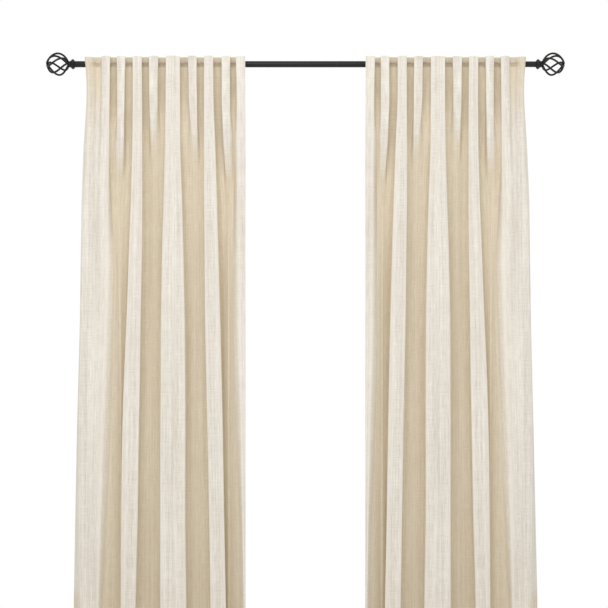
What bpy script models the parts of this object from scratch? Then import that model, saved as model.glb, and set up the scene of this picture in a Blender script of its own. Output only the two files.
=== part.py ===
"""A pair of curtain panels with back tabs, on a telescoping rod with birdcage finials.

The model stands in the left wall plate's frame: the origin is the middle of that plate's back face,
on the wall. +X runs along the rod to the right, +Y goes into the wall, and +Z is up. A side is -1 for
the left end and +1 for the right one, and what points away from the middle of the rod is outward.
"""
import math

import bmesh
import bpy
from mathutils import Matrix

# ---- driving dimensions, in metres ---------------------------------------------------------------
TOUCH_GAP = 0.0003            # between two pieces that rest on or against each other

BRACKET_SPAN = 1.404          # between the middles of the two wall brackets
ROD_PROJECTION = 0.095        # from the wall to the rod's axis
ROD_OVERHANG = 0.115          # from a bracket's middle to the rod's end

PLATE_WIDTH = 0.030
PLATE_HEIGHT = 0.068
PLATE_THICKNESS = 0.003
PLATE_CORNER = 0.006
SCREW_HOLE_RADIUS = 0.0025
SCREW_HOLE_SPACING = 0.050

ARM_SIDE = 0.0094
ARM_CORNER = 0.0008
ARM_BACK_CLEARANCE = 0.012    # between the plate and the arm's inner end
SOCKET_CLEARANCE = 0.0003     # round the arm, inside its socket
SOCKET_WALL = 0.0014
SOCKET_LENGTH = 0.055

OUTER_TUBE_RADIUS = 0.011
TUBE_WALL = 0.0005
TELESCOPE_CLEARANCE = 0.0003  # between the inner tube and the outer one
OUTER_TUBE_PAST_MIDDLE = 0.30 # from the rod's middle to the outer tube's open end
TUBE_ENGAGEMENT = 0.50        # length of the inner tube that is inside the outer one

CRADLE_WIDTH = 0.012
CRADLE_WALL = 0.002
CRADLE_SEAT_CLEARANCE = 0.0003
CRADLE_LIP_RISE = 0.004       # how far the cradle's sides reach above the rod's axis
CRADLE_FOOT_ANGLE = math.radians(62)  # round the outside, from its middle height to the flat foot

THUMB_SCREW_RADIUS = 0.002
THUMB_SCREW_CLEARANCE = 0.0003
THUMB_HEAD_RADIUS = 0.0048
THUMB_HEAD_LENGTH = 0.004
THUMB_HEAD_STANDOFF = 0.0015
THUMB_SCREW_BEVEL = 0.0006
ARM_SCREW_FROM_SOCKET_MOUTH = 0.007

PLUG_LENGTH = 0.020
STUD_RADIUS = 0.003
STUD_LENGTH = 0.014
STUD_CLEARANCE = 0.0003
GLIDE_LENGTH = 0.012
GLIDE_LIP = 0.003

COLLAR_RADIUS = 0.018
COLLAR_LENGTH = 0.018
COLLAR_START_LIP = 0.0004     # how far the collar stands proud of the rod where it meets it
COLLAR_EASE = 0.0008          # how much the radius has changed a little way from each profile end
COLLAR_FOOT = 0.14            # shares of the collar's length: the end of its foot, the start, crest
COLLAR_RIM_START = 0.32       # and end of its rim, and where its back slope eases into the neck
COLLAR_CREST = 0.42
COLLAR_RIM_END = 0.52
COLLAR_BACK = 0.78
NECK_RADIUS = 0.0112
NECK_LENGTH = 0.0035

CAGE_RADIUS = 0.0380          # from the ball's centre to a wire's middle
CAGE_WIRE_RADIUS = 0.0035
CAGE_WIRES = 6
CAGE_TWIST = math.radians(125)
CAGE_FIRST_WIRE = math.radians(20)
CAGE_POLE_RING = 0.0080       # radius of the ring in which the wires meet at each pole
CAGE_POINTEDNESS = 1.2        # 1 is a true sphere, and more draws the poles out
BUTTON_RADIUS = 0.0085
BUTTON_THICKNESS = 0.0025
BUTTON_BACK_SHARE = 0.7       # radius of the button's inner face, as a share of the button's
BUTTON_STEM_TIP = 0.6         # and of its rounded stem's tip, as a share of the stem's

PANEL_HUNG_WIDTH = 0.568      # of one gathered panel, at its heading
PANEL_DROP = 2.134            # from the heading's top to the hem
HEADING_ABOVE_ROD = 0.022     # from the rod's axis to the heading's top
CLOTH_THICKNESS = 0.002

HEAD_FRONT = 0.054            # how far the folds stand in front of the rod's axis, at the heading
HEM_FRONT = 0.050
HEM_FLOOR = 0.030             # how far the valleys lie behind the rod's axis, at the hem
HEADING_DEPTH = 0.045         # down to here, the tabs hold the cloth
SMALL_FOLDS_START = 0.14      # the small folds begin to fade here, down from the heading's top
SMALL_FOLDS_END = 0.50        # and end here
SETTLING_DROP = 1.10          # below the tabs, the valleys sink to their full depth over this
SETTLING_SHAPE = 0.6          # below 1, they sink fastest near the tabs
FLAP_LOOSENING = 0.42         # and the dip behind the outermost tab fills out over this
HEAD_SLANT = 0.003            # how far a fold's side runs across the panel, at the heading
HEM_SLANT = 0.014
FIRST_VALLEY_LEAN = 2.2       # the first valley's outer side slants this much more

TAB_WIDTH = 0.018
TAB_THICKNESS = 0.0012
TAB_HEIGHT = 0.020            # from the rod's axis to each sewn end
TAB_SEWN_LENGTH = 0.006
TAB_SLACK = 0.0012            # extra radius of a tab's loop round the outer tube
TAB_STANDOFF = 0.0008         # between the rod's front and a tab's sewn ends
TAB_WRAP = math.radians(112)  # each way round the rod from its back, to where the strip leaves it

# Where each fold's face starts and ends across a panel, from its outer edge, as shares of its hung
# width. The nine folds at the heading merge into five wide ones: every second one fades away.
HEAD_FOLDS = (
    (0.116, 0.163), (0.206, 0.257), (0.303, 0.359), (0.403, 0.460), (0.507, 0.595),
    (0.641, 0.695), (0.743, 0.799), (0.855, 0.904), (0.939, 0.996),
)
OUTER_TAB = 0.083
WIDE_FOLDS = (                # (share of the drop, the five wide folds there)
    (0.436, ((0.105, 0.138), (0.268, 0.348), (0.471, 0.620), (0.768, 0.848), (0.947, 0.984))),
    (0.637, ((0.080, 0.101), (0.231, 0.336), (0.471, 0.632), (0.774, 0.860), (0.965, 0.990))),
    (0.904, ((0.060, 0.083), (0.224, 0.317), (0.471, 0.635), (0.777, 0.876), (0.987, 0.995))),
)
# The loose cloth outside the outermost tab: (share of the drop, (share of the width, depth) of its
# hem, its front corner, its face's end, and the dip behind the outermost tab), depth in metres
# towards the front of the rod's axis.
OUTER_FLAP = (
    (0.000, ((0.000, 0.030), (0.006, 0.036), (0.038, 0.034), (0.064, 0.015), (0.101, 0.014))),
    (0.220, ((-0.014, 0.020), (-0.010, 0.042), (0.030, 0.048), (0.060, 0.047), (0.090, 0.048))),
    (0.436, ((-0.039, -0.005), (-0.023, 0.045), (0.026, 0.050), (0.060, 0.050), (0.085, 0.050))),
    (0.637, ((-0.060, -0.012), (-0.040, 0.046), (0.010, 0.050), (0.040, 0.050), (0.060, 0.050))),
    (0.904, ((-0.084, -0.020), (-0.023, 0.046), (0.000, 0.050), (0.025, 0.050), (0.045, 0.050))),
)
CLOTH_ROWS = (0.0, 0.02, 0.05, 0.09, 0.13, 0.18, 0.24, 0.33, 0.436, 0.637, 0.904, 1.0)

ROUND_SIDES = 32
SMALL_ROUND_SIDES = 16
CRADLE_SEAT_STEPS = 12
CRADLE_SIDE_STEPS = 7
BUTTON_FACE_STEPS = 20
SHARP_ANGLE = math.radians(40)
WIRE_SIDES = 8
WIRE_STEPS = 16
TAB_ARC_STEPS = 10

# ---- what follows from them ----------------------------------------------------------------------
ROD_MIDDLE_X = BRACKET_SPAN / 2
ROD_Y = -ROD_PROJECTION
SADDLE_RADIUS = OUTER_TUBE_RADIUS + CRADLE_SEAT_CLEARANCE + CRADLE_WALL
ROD_Z = ARM_SIDE / 2 + TOUCH_GAP + SADDLE_RADIUS
OUTER_BORE = OUTER_TUBE_RADIUS - TUBE_WALL
INNER_TUBE_RADIUS = OUTER_BORE - TELESCOPE_CLEARANCE
INNER_BORE = INNER_TUBE_RADIUS - TUBE_WALL
SOCKET_INSIDE = ARM_SIDE / 2 + SOCKET_CLEARANCE
SOCKET_OUTSIDE = SOCKET_INSIDE + SOCKET_WALL
SOCKET_MOUTH_Y = -PLATE_THICKNESS - TOUCH_GAP - SOCKET_LENGTH
ARM_SCREW_Y = SOCKET_MOUTH_Y + ARM_SCREW_FROM_SOCKET_MOUTH
HEAD_FLOOR = OUTER_TUBE_RADIUS + TAB_STANDOFF + TAB_THICKNESS + TOUCH_GAP + CLOTH_THICKNESS / 2
BLACK = (0.018, 0.018, 0.019, 1)
ZINC = (0.42, 0.42, 0.43, 1)
NYLON = (0.75, 0.75, 0.72, 1)
LINEN = (0.80, 0.73, 0.60, 1)


def bracket_x(side):
    return ROD_MIDDLE_X + side * BRACKET_SPAN / 2


def rod_end_x(side):
    return bracket_x(side) + side * ROD_OVERHANG


def tab_places():
    """Distance of each tab's middle from its panel's outer edge: one between every two folds."""
    places = [OUTER_TAB * PANEL_HUNG_WIDTH]
    for (_, end), (start, _) in zip(HEAD_FOLDS, HEAD_FOLDS[1:]):
        places.append((end + start) / 2 * PANEL_HUNG_WIDTH)
    return places


def panel_edge_x(side):
    """A panel's outer edge. The bracket is halfway between its first two tabs, behind a fold."""
    first, second = tab_places()[:2]
    return bracket_x(side) + side * (first + second) / 2


def side_name(side):
    return "left" if side < 0 else "right"


# ---- making objects ------------------------------------------------------------------------------
def make_material(name, color, roughness, metallic=0.0):
    material = bpy.data.materials.new(name)
    material.use_nodes = True
    shader = material.node_tree.nodes["Principled BSDF"]
    shader.inputs["Base Color"].default_value = color
    shader.inputs["Roughness"].default_value = roughness
    shader.inputs["Metallic"].default_value = metallic
    return material


def make_object(name, bm, origin, material, parent=None, smooth=False):
    """An object whose mesh is bm, in its own axes, with its faces turned outwards."""
    bmesh.ops.recalc_face_normals(bm, faces=bm.faces)
    mesh = bpy.data.meshes.new(name)
    bm.to_mesh(mesh)
    bm.free()
    if smooth:
        mesh.shade_smooth()
        mesh.set_sharp_from_angle(angle=SHARP_ANGLE)
    mesh.materials.append(material)
    piece = bpy.data.objects.new(name, mesh)
    bpy.context.collection.objects.link(piece)
    piece.location = origin
    if parent is not None:
        piece.parent = parent
        piece.location = [a - b for a, b in zip(origin, parent.location)]
    return piece


def make_axis(name, place):
    """An empty on a joint's axis, for what turns about it."""
    axis = bpy.data.objects.new(name, None)
    axis.location = place
    bpy.context.collection.objects.link(axis)
    return axis


def add_rings(bm, rings, closed=False):
    """Faces between rings of points. A ring of one point is a pole; the ends are capped, or joined."""
    made = [[bm.verts.new(point) for point in ring] for ring in rings]
    pairs = list(zip(made, made[1:]))
    if closed:
        pairs.append((made[-1], made[0]))
    for first, second in pairs:
        for i in range(max(len(first), len(second))):
            corners = [first[i % len(first)], first[(i + 1) % len(first)],
                       second[(i + 1) % len(second)], second[i % len(second)]]
            bm.faces.new(list(dict.fromkeys(corners)))
    if not closed:
        for ring in (made[0], made[-1]):
            if len(ring) > 2:
                bm.faces.new(ring)


def turned(profile, closed=False, sides=ROUND_SIDES):
    """A shape turned about X from a profile of (x, radius) points."""
    bm = bmesh.new()
    rings = []
    for x, radius in profile:
        if radius == 0:
            rings.append([(x, 0, 0)])
            continue
        turns = [2 * math.pi * i / sides for i in range(sides)]
        rings.append([(x, radius * math.cos(a), radius * math.sin(a)) for a in turns])
    add_rings(bm, rings, closed)
    return bm


def point_axis(bm, direction):
    """Turns a shape made about X so that its +X points along another axis."""
    turns = {"-X": ("Z", math.pi), "-Y": ("Z", -math.pi / 2), "+Y": ("Z", math.pi / 2),
             "-Z": ("Y", math.pi / 2), "+Z": ("Y", -math.pi / 2)}
    axis, angle = turns[direction]
    bmesh.ops.rotate(bm, verts=bm.verts, matrix=Matrix.Rotation(angle, 3, axis))
    return bm


def extruded(outline, thickness, plane="YZ"):
    """A plate with the given outline, its thickness centred on the outline's plane."""
    bm = bmesh.new()
    low = -thickness / 2
    if plane == "YZ":
        points = [(low, a, b) for a, b in outline]
        along = (thickness, 0, 0)
    else:
        points = [(a, low, b) for a, b in outline]
        along = (0, thickness, 0)
    face = bm.faces.new([bm.verts.new(point) for point in points])
    grown = bmesh.ops.extrude_face_region(bm, geom=[face])["geom"]
    tops = [item for item in grown if isinstance(item, bmesh.types.BMVert)]
    bmesh.ops.translate(bm, verts=tops, vec=along)
    return bm


def rounded_rectangle(width, height, corner, steps=4):
    outline = []
    for quarter, (sx, sz) in enumerate(((1, 1), (-1, 1), (-1, -1), (1, -1))):
        for i in range(steps + 1):
            angle = math.pi / 2 * (quarter + i / steps)
            outline.append((sx * (width / 2 - corner) + corner * math.cos(angle),
                            sz * (height / 2 - corner) + corner * math.sin(angle)))
    return outline


def cut(piece, cutter_bm, place):
    """Takes a shape out of a piece."""
    mesh = bpy.data.meshes.new("cutter")
    bmesh.ops.recalc_face_normals(cutter_bm, faces=cutter_bm.faces)
    cutter_bm.to_mesh(mesh)
    cutter_bm.free()
    cutter = bpy.data.objects.new("cutter", mesh)
    cutter.location = place
    bpy.context.collection.objects.link(cutter)
    modifier = piece.modifiers.new("cut", "BOOLEAN")
    modifier.operation = "DIFFERENCE"
    modifier.object = cutter
    bpy.context.view_layer.update()
    evaluated = piece.evaluated_get(bpy.context.evaluated_depsgraph_get())
    result = bpy.data.meshes.new_from_object(evaluated)
    piece.modifiers.clear()
    piece.data = result
    bpy.data.objects.remove(cutter)


# ---- wall brackets -------------------------------------------------------------------------------
def wall_plate(side, material):
    """Steel plate against the wall, with a hole for a wall screw above and below its socket."""
    outline = rounded_rectangle(PLATE_WIDTH, PLATE_HEIGHT, PLATE_CORNER)
    middle = (bracket_x(side), -PLATE_THICKNESS / 2, 0)
    plate = make_object(f"{side_name(side)}_wall_plate", extruded(outline, PLATE_THICKNESS, "XZ"),
                        middle, material)
    reach = PLATE_THICKNESS
    for end in (-1, 1):
        hole = point_axis(turned(((-reach, SCREW_HOLE_RADIUS), (reach, SCREW_HOLE_RADIUS)), sides=SMALL_ROUND_SIDES),
                          "+Y")
        cut(plate, hole, (bracket_x(side), middle[1], end * SCREW_HOLE_SPACING / 2))
    return plate


def arm_socket(side, material):
    """Square tube welded to the wall plate, with a hole for the arm screw in its underside."""
    bm = bmesh.new()
    rings = []
    back_y = -PLATE_THICKNESS - TOUCH_GAP
    for y, half in ((back_y, SOCKET_OUTSIDE), (SOCKET_MOUTH_Y, SOCKET_OUTSIDE),
                    (SOCKET_MOUTH_Y, SOCKET_INSIDE), (back_y, SOCKET_INSIDE)):
        rings.append([(sx * half, y, sz * half) for sx, sz in ((1, 1), (-1, 1), (-1, -1), (1, -1))])
    add_rings(bm, rings, closed=True)
    socket = make_object(f"{side_name(side)}_arm_socket", bm, (bracket_x(side), 0, 0), material)
    radius = THUMB_SCREW_RADIUS + THUMB_SCREW_CLEARANCE
    hole = point_axis(turned(((0, radius), (SOCKET_OUTSIDE * 2, radius)), sides=SMALL_ROUND_SIDES), "-Z")
    cut(socket, hole, (bracket_x(side), ARM_SCREW_Y, 0))
    return socket


def bracket_arm(side, material):
    """Square bar that slides in the socket and carries the cradle over its front end."""
    back = -PLATE_THICKNESS - ARM_BACK_CLEARANCE
    front = ROD_Y - CRADLE_WIDTH / 2
    outline = rounded_rectangle(ARM_SIDE, ARM_SIDE, ARM_CORNER, 2)
    middle = (bracket_x(side), (back + front) / 2, 0)
    return make_object(f"{side_name(side)}_bracket_arm", extruded(outline, back - front, "XZ"),
                       middle, material)


def rod_cradle(side, tube_radius, material):
    """Saddle on the arm's end: a half-round seat open to the top, on a flat foot."""
    seat = tube_radius + CRADLE_SEAT_CLEARANCE
    outside = SADDLE_RADIUS
    foot = CRADLE_WIDTH / 2
    bottom = -SADDLE_RADIUS
    outline = [(seat, CRADLE_LIP_RISE)]
    for i in range(CRADLE_SEAT_STEPS + 1):
        angle = -math.pi * i / CRADLE_SEAT_STEPS
        outline.append((seat * math.cos(angle), seat * math.sin(angle)))
    outline += [(-seat, CRADLE_LIP_RISE), (-outside, CRADLE_LIP_RISE)]
    turns = [CRADLE_FOOT_ANGLE * i / CRADLE_SIDE_STEPS for i in range(CRADLE_SIDE_STEPS + 1)]
    outline += [(-outside * math.cos(turn), -outside * math.sin(turn)) for turn in turns]
    outline += [(-foot, bottom), (foot, bottom)]
    outline += [(outside * math.cos(turn), -outside * math.sin(turn)) for turn in reversed(turns)]
    outline.append((outside, CRADLE_LIP_RISE))
    cradle = make_object(f"{side_name(side)}_rod_cradle", extruded(outline, CRADLE_WIDTH),
                         (bracket_x(side), ROD_Y, ROD_Z), material)
    radius = THUMB_SCREW_RADIUS + THUMB_SCREW_CLEARANCE
    hole = point_axis(turned(((seat / 2, radius), (outside * 2, radius)), sides=SMALL_ROUND_SIDES), "+Y")
    cut(cradle, hole, (bracket_x(side), ROD_Y, ROD_Z))
    return cradle


def thumb_screw(name, tip, direction, shank_length, material):
    """Screw whose tip presses on what it clamps. The direction points from its tip to its head."""
    head_start = shank_length
    head_end = head_start + THUMB_HEAD_LENGTH
    bevel = THUMB_SCREW_BEVEL
    profile = ((0, 0), (0, THUMB_SCREW_RADIUS - bevel), (bevel, THUMB_SCREW_RADIUS),
               (head_start, THUMB_SCREW_RADIUS), (head_start, THUMB_HEAD_RADIUS - bevel),
               (head_start + bevel, THUMB_HEAD_RADIUS), (head_end - bevel, THUMB_HEAD_RADIUS),
               (head_end, THUMB_HEAD_RADIUS - bevel), (head_end, 0))
    return make_object(name, point_axis(turned(profile, sides=SMALL_ROUND_SIDES), direction), tip, material)


def bracket_screws(side, tube_radius, material):
    name = side_name(side)
    tip = (bracket_x(side), ROD_Y + tube_radius + TOUCH_GAP, ROD_Z)
    shank = SADDLE_RADIUS - tube_radius - TOUCH_GAP + THUMB_HEAD_STANDOFF
    thumb_screw(f"{name}_rod_screw", tip, "+Y", shank, material)
    tip = (bracket_x(side), ARM_SCREW_Y, -ARM_SIDE / 2 - TOUCH_GAP)
    shank = SOCKET_OUTSIDE - ARM_SIDE / 2 - TOUCH_GAP + THUMB_HEAD_STANDOFF
    thumb_screw(f"{name}_arm_screw", tip, "-Z", shank, material)


# ---- rod -----------------------------------------------------------------------------------------
def tube(name, start_x, end_x, radius, bore, material):
    length = end_x - start_x
    profile = ((0, radius), (length, radius), (length, bore), (0, bore))
    return make_object(name, turned(profile, closed=True), (start_x, ROD_Y, ROD_Z), material, smooth=True)


def rod(material, nylon):
    """Outer tube from the left end, and the inner tube that slides in it out to the right end."""
    open_end = ROD_MIDDLE_X + OUTER_TUBE_PAST_MIDDLE
    tube("outer_tube", rod_end_x(-1), open_end, OUTER_TUBE_RADIUS, OUTER_BORE, material)
    inner_end = open_end - TUBE_ENGAGEMENT
    tube("inner_tube", inner_end, rod_end_x(1), INNER_TUBE_RADIUS, INNER_BORE, material)
    stem = INNER_BORE - TOUCH_GAP
    profile = ((-GLIDE_LIP, 0), (-GLIDE_LIP, INNER_TUBE_RADIUS), (0, INNER_TUBE_RADIUS), (0, stem),
               (GLIDE_LENGTH, stem), (GLIDE_LENGTH, 0))
    make_object("inner_tube_glide", turned(profile), (inner_end - TOUCH_GAP, ROD_Y, ROD_Z), nylon,
                smooth=True)


def end_plug(side, bore, material):
    """Threaded insert flush in the rod's end, which takes the finial's stud."""
    radius = bore - TOUCH_GAP
    hole = STUD_RADIUS + STUD_CLEARANCE
    outward = "+X" if side > 0 else "-X"
    bm = turned(((-PLUG_LENGTH, radius), (0, radius), (0, hole), (-PLUG_LENGTH, hole)), closed=True)
    if side < 0:
        point_axis(bm, outward)
    return make_object(f"{side_name(side)}_end_plug", bm, (rod_end_x(side), ROD_Y, ROD_Z), material,
                       smooth=True)


# ---- finials -------------------------------------------------------------------------------------
def finial_base(side, axis, material):
    """Turned collar and neck in one piece, with the stud that screws into the rod's end."""
    gap = TOUCH_GAP
    collar_start = gap
    collar_end = gap + COLLAR_LENGTH
    neck_end = collar_end + NECK_LENGTH
    foot = OUTER_TUBE_RADIUS + COLLAR_START_LIP
    shape = ((0, foot), (COLLAR_FOOT, foot + COLLAR_EASE), (COLLAR_RIM_START, COLLAR_RADIUS - COLLAR_EASE),
             (COLLAR_CREST, COLLAR_RADIUS), (COLLAR_RIM_END, COLLAR_RADIUS - COLLAR_EASE),
             (COLLAR_BACK, NECK_RADIUS + COLLAR_EASE))
    profile = [(-STUD_LENGTH, 0), (-STUD_LENGTH, STUD_RADIUS), (collar_start, STUD_RADIUS)]
    profile += [(collar_start + COLLAR_LENGTH * share, radius) for share, radius in shape]
    profile += [(collar_end, NECK_RADIUS), (neck_end, NECK_RADIUS), (neck_end, 0)]
    profile = [(side * x, radius) for x, radius in profile]
    return make_object(f"{side_name(side)}_finial_base", turned(profile),
                       (rod_end_x(side), ROD_Y, ROD_Z), material, axis, smooth=True)


def polar_angle(ring):
    """The angle from the ball's pole at which the cage has a given ring radius."""
    return math.asin((ring / CAGE_RADIUS) ** (1 / CAGE_POINTEDNESS))


def cage_height(ring):
    """How far along the axis, from the ball's centre, the cage has a given ring radius."""
    return CAGE_RADIUS * math.cos(polar_angle(ring))


def wire_point(share, start_angle):
    """A point on a wire's middle line, from the ball's centre: outward, back and up."""
    pole = polar_angle(CAGE_POLE_RING)
    polar = pole + (math.pi - 2 * pole) * share
    ring = CAGE_RADIUS * math.sin(polar) ** CAGE_POINTEDNESS
    turn = start_angle + CAGE_TWIST * polar / math.pi
    return (-CAGE_RADIUS * math.cos(polar), -ring * math.sin(turn), ring * math.cos(turn))


def cage_wire(side, number, axis, centre, material):
    """One bent and twisted wire of the birdcage, from the neck to the tip."""
    start_angle = CAGE_FIRST_WIRE + 2 * math.pi * number / CAGE_WIRES
    curve = bpy.data.curves.new(f"{side_name(side)}_cage_wire_{number + 1}", "CURVE")
    curve.dimensions = "3D"
    curve.bevel_depth = CAGE_WIRE_RADIUS
    curve.bevel_resolution = WIRE_SIDES // 2 - 2
    curve.use_fill_caps = True
    spline = curve.splines.new("POLY")
    spline.points.add(WIRE_STEPS)
    for i, point in enumerate(spline.points):
        outward, back, up = wire_point(i / WIRE_STEPS, start_angle)
        point.co = (side * outward, back, up, 1)
    curve.materials.append(material)
    wire = bpy.data.objects.new(curve.name, curve)
    bpy.context.collection.objects.link(wire)
    wire.parent = axis
    wire.location = [a - b for a, b in zip(centre, axis.location)]
    return wire


def button_face():
    """How far out from the ball's centre the button's rim can reach before it touches a wire."""
    reach = CAGE_WIRE_RADIUS + TOUCH_GAP
    faces = []
    for i in range(BUTTON_FACE_STEPS + 1):
        across = reach * (2 * i / BUTTON_FACE_STEPS - 1)
        if BUTTON_RADIUS + across >= CAGE_POLE_RING:
            rise = math.sqrt(max(reach ** 2 - across ** 2, 0))
            faces.append(cage_height(BUTTON_RADIUS + across) - rise)
    return min(faces)


def cage_button(side, axis, centre, material):
    """Button inside the far pole that the wires' ends are brazed to."""
    pole_x = cage_height(CAGE_POLE_RING)
    inside = button_face()
    stem = CAGE_POLE_RING - CAGE_WIRE_RADIUS - TOUCH_GAP * 2
    tip = pole_x + CAGE_WIRE_RADIUS
    stem_edge = stem * (1 - BUTTON_STEM_TIP)
    profile = ((inside - BUTTON_THICKNESS, 0), (inside - BUTTON_THICKNESS, BUTTON_RADIUS * BUTTON_BACK_SHARE),
               (inside - BUTTON_THICKNESS / 2, BUTTON_RADIUS), (inside, BUTTON_RADIUS),
               (inside, stem), (tip - stem_edge, stem), (tip, stem * BUTTON_STEM_TIP), (tip, 0))
    profile = [(side * x, radius) for x, radius in profile]
    return make_object(f"{side_name(side)}_cage_button", turned(profile, sides=SMALL_ROUND_SIDES), centre, material,
                       axis, smooth=True)


def finial(side, material):
    axis = make_axis(f"{side_name(side)}_finial_axis", (rod_end_x(side), ROD_Y, ROD_Z))
    neck_end = TOUCH_GAP + COLLAR_LENGTH + NECK_LENGTH
    ball_centre = neck_end + TOUCH_GAP + CAGE_WIRE_RADIUS + cage_height(CAGE_POLE_RING)
    centre = (rod_end_x(side) + side * ball_centre, ROD_Y, ROD_Z)
    finial_base(side, axis, material)
    for number in range(CAGE_WIRES):
        cage_wire(side, number, axis, centre, material)
    cage_button(side, axis, centre, material)


# ---- curtain panels ------------------------------------------------------------------------------
def smooth_step(value):
    value = min(max(value, 0), 1)
    return value * value * (3 - 2 * value)


def between(levels, share):
    """The nested numbers that levels give at a share of the drop, straight between two levels."""
    def mix(a, b, t):
        if isinstance(a, tuple):
            return tuple(mix(i, j, t) for i, j in zip(a, b))
        return a + (b - a) * t

    for (low, first), (high, second) in zip(levels, levels[1:]):
        if share <= high:
            return mix(first, second, (share - low) / (high - low))
    return levels[-1][1]


def small_fold(gap, head_gap, head_fold, head_slant):
    """Where a small fold's four corners lie in the valley that holds it.

    They keep the shares of the valley that they have at the heading, so that the fold narrows with it.
    """
    start, end = head_fold
    low, high = head_gap
    corners = (start - head_slant, start, end, end + head_slant)
    shares = [(corner - low) / (high - low) for corner in corners]
    return [gap[0] + share * (gap[1] - gap[0]) for share in shares]


def panel_section(share):
    """The cloth's line across one panel at a share of its drop, from the outer to the leading edge.

    Each point is (distance from the outer edge, distance behind the rod's axis), in metres.
    """
    down = share * PANEL_DROP
    width = PANEL_HUNG_WIDTH
    front = -(HEAD_FRONT + (HEM_FRONT - HEAD_FRONT) * share)
    settled = smooth_step((down - HEADING_DEPTH) / SETTLING_DROP) ** SETTLING_SHAPE
    floor = -HEAD_FLOOR + (HEM_FLOOR + HEAD_FLOOR) * settled
    slant = HEAD_SLANT + (HEM_SLANT - HEAD_SLANT) * settled
    small = 1 - smooth_step((down - SMALL_FOLDS_START) / (SMALL_FOLDS_END - SMALL_FOLDS_START))
    crest = floor + (front - floor) * small
    wide = between(((0.0, HEAD_FOLDS[0::2]),) + WIDE_FOLDS, share)
    loose = smooth_step((down - HEADING_DEPTH) / FLAP_LOOSENING)
    flap = between(OUTER_FLAP, share)
    points = [(x * width, -depth) for x, depth in flap[:3]]
    points += [(x * width, -depth * loose - HEAD_FLOOR * (1 - loose)) for x, depth in flap[3:]]
    for i, (start, end) in enumerate(wide):
        if i > 0:
            points.append((start * width - slant, floor))
        points.append((start * width, front))
        points.append((end * width, front))
        if i == len(wide) - 1:
            break
        lean = slant * FIRST_VALLEY_LEAN if i == 0 else slant
        gap = (end * width + lean, wide[i + 1][0] * width - slant)
        head = [[edge * width for edge in fold] for fold in HEAD_FOLDS[2 * i:2 * i + 3]]
        head_lean = HEAD_SLANT * FIRST_VALLEY_LEAN if i == 0 else HEAD_SLANT
        head_gap = (head[0][1] + head_lean, head[2][0] - HEAD_SLANT)
        corners = small_fold(gap, head_gap, head[1], HEAD_SLANT)
        points.append((gap[0], floor))
        points += list(zip(corners, (floor, crest, crest, floor)))
    return points


def curtain_panel(side, material):
    """One panel: a corrugated sheet of cloth, drawn out of its own mid-surface by its thickness."""
    bm = bmesh.new()
    rows = []
    for share in CLOTH_ROWS:
        z = HEADING_ABOVE_ROD - share * PANEL_DROP
        rows.append([bm.verts.new((-side * x, y, z)) for x, y in panel_section(share)])
    for upper, lower in zip(rows, rows[1:]):
        for i in range(len(upper) - 1):
            bm.faces.new((upper[i], upper[i + 1], lower[i + 1], lower[i]))
    origin = (panel_edge_x(side), ROD_Y, ROD_Z)
    panel = make_object(f"{side_name(side)}_panel", bm, origin, material)
    solid = panel.modifiers.new("cloth thickness", "SOLIDIFY")
    solid.thickness = CLOTH_THICKNESS
    solid.offset = 0
    solid.use_even_offset = True
    return panel


def back_tab(side, number, place, material):
    """Strip of cloth sewn to the heading's back above and below the rod, which runs through it."""
    middle = OUTER_TUBE_RADIUS + TAB_SLACK + TAB_THICKNESS / 2
    drop = TAB_SLACK - TOUCH_GAP
    front = -HEAD_FLOOR + CLOTH_THICKNESS / 2 + TOUCH_GAP + TAB_THICKNESS / 2
    sewn = TAB_HEIGHT - TAB_SEWN_LENGTH
    line = [(front, TAB_HEIGHT), (front, sewn)]
    for i in range(TAB_ARC_STEPS + 1):
        angle = TAB_WRAP * (1 - 2 * i / TAB_ARC_STEPS)
        line.append((middle * math.cos(angle), middle * math.sin(angle) - drop))
    line += [(front, -sewn), (front, -TAB_HEIGHT)]
    inner, outer = [], []
    for i, (y, z) in enumerate(line):
        before = line[max(i - 1, 0)]
        after = line[min(i + 1, len(line) - 1)]
        run = (after[0] - before[0], after[1] - before[1])
        length = math.hypot(*run)
        normal = (-run[1] / length, run[0] / length)
        half = TAB_THICKNESS / 2
        outer.append((y + normal[0] * half, z + normal[1] * half))
        inner.append((y - normal[0] * half, z - normal[1] * half))
    outline = outer + inner[::-1]
    x = panel_edge_x(side) - side * place
    return make_object(f"{side_name(side)}_tab_{number}", extruded(outline, TAB_WIDTH),
                       (x, ROD_Y, ROD_Z), material)


# ---- the whole -----------------------------------------------------------------------------------
for old in list(bpy.data.objects):
    bpy.data.objects.remove(old)

black = make_material("black_satin", BLACK, 0.38, 0.0)
zinc = make_material("zinc", ZINC, 0.35, 1.0)
nylon = make_material("nylon", NYLON, 0.5)
linen = make_material("linen", LINEN, 0.9)
tape = make_material("tab_cloth", LINEN, 0.95)

rod(black, nylon)
for side, tube_radius, bore in ((-1, OUTER_TUBE_RADIUS, OUTER_BORE), (1, INNER_TUBE_RADIUS, INNER_BORE)):
    wall_plate(side, black)
    arm_socket(side, black)
    bracket_arm(side, black)
    rod_cradle(side, tube_radius, black)
    bracket_screws(side, tube_radius, zinc)
    end_plug(side, bore, zinc)
    finial(side, black)
    curtain_panel(side, linen)
    for number, place in enumerate(tab_places(), start=1):
        back_tab(side, number, place, tape)
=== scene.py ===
"""The looks of a pair of linen curtain panels, hung by back tabs from a black telescoping rod.

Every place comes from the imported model. +X runs along the rod to the right, +Y goes into the wall and
+Z is up. A side is -1 for the left end of the rod and +1 for the right one.
"""
import math

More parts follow.
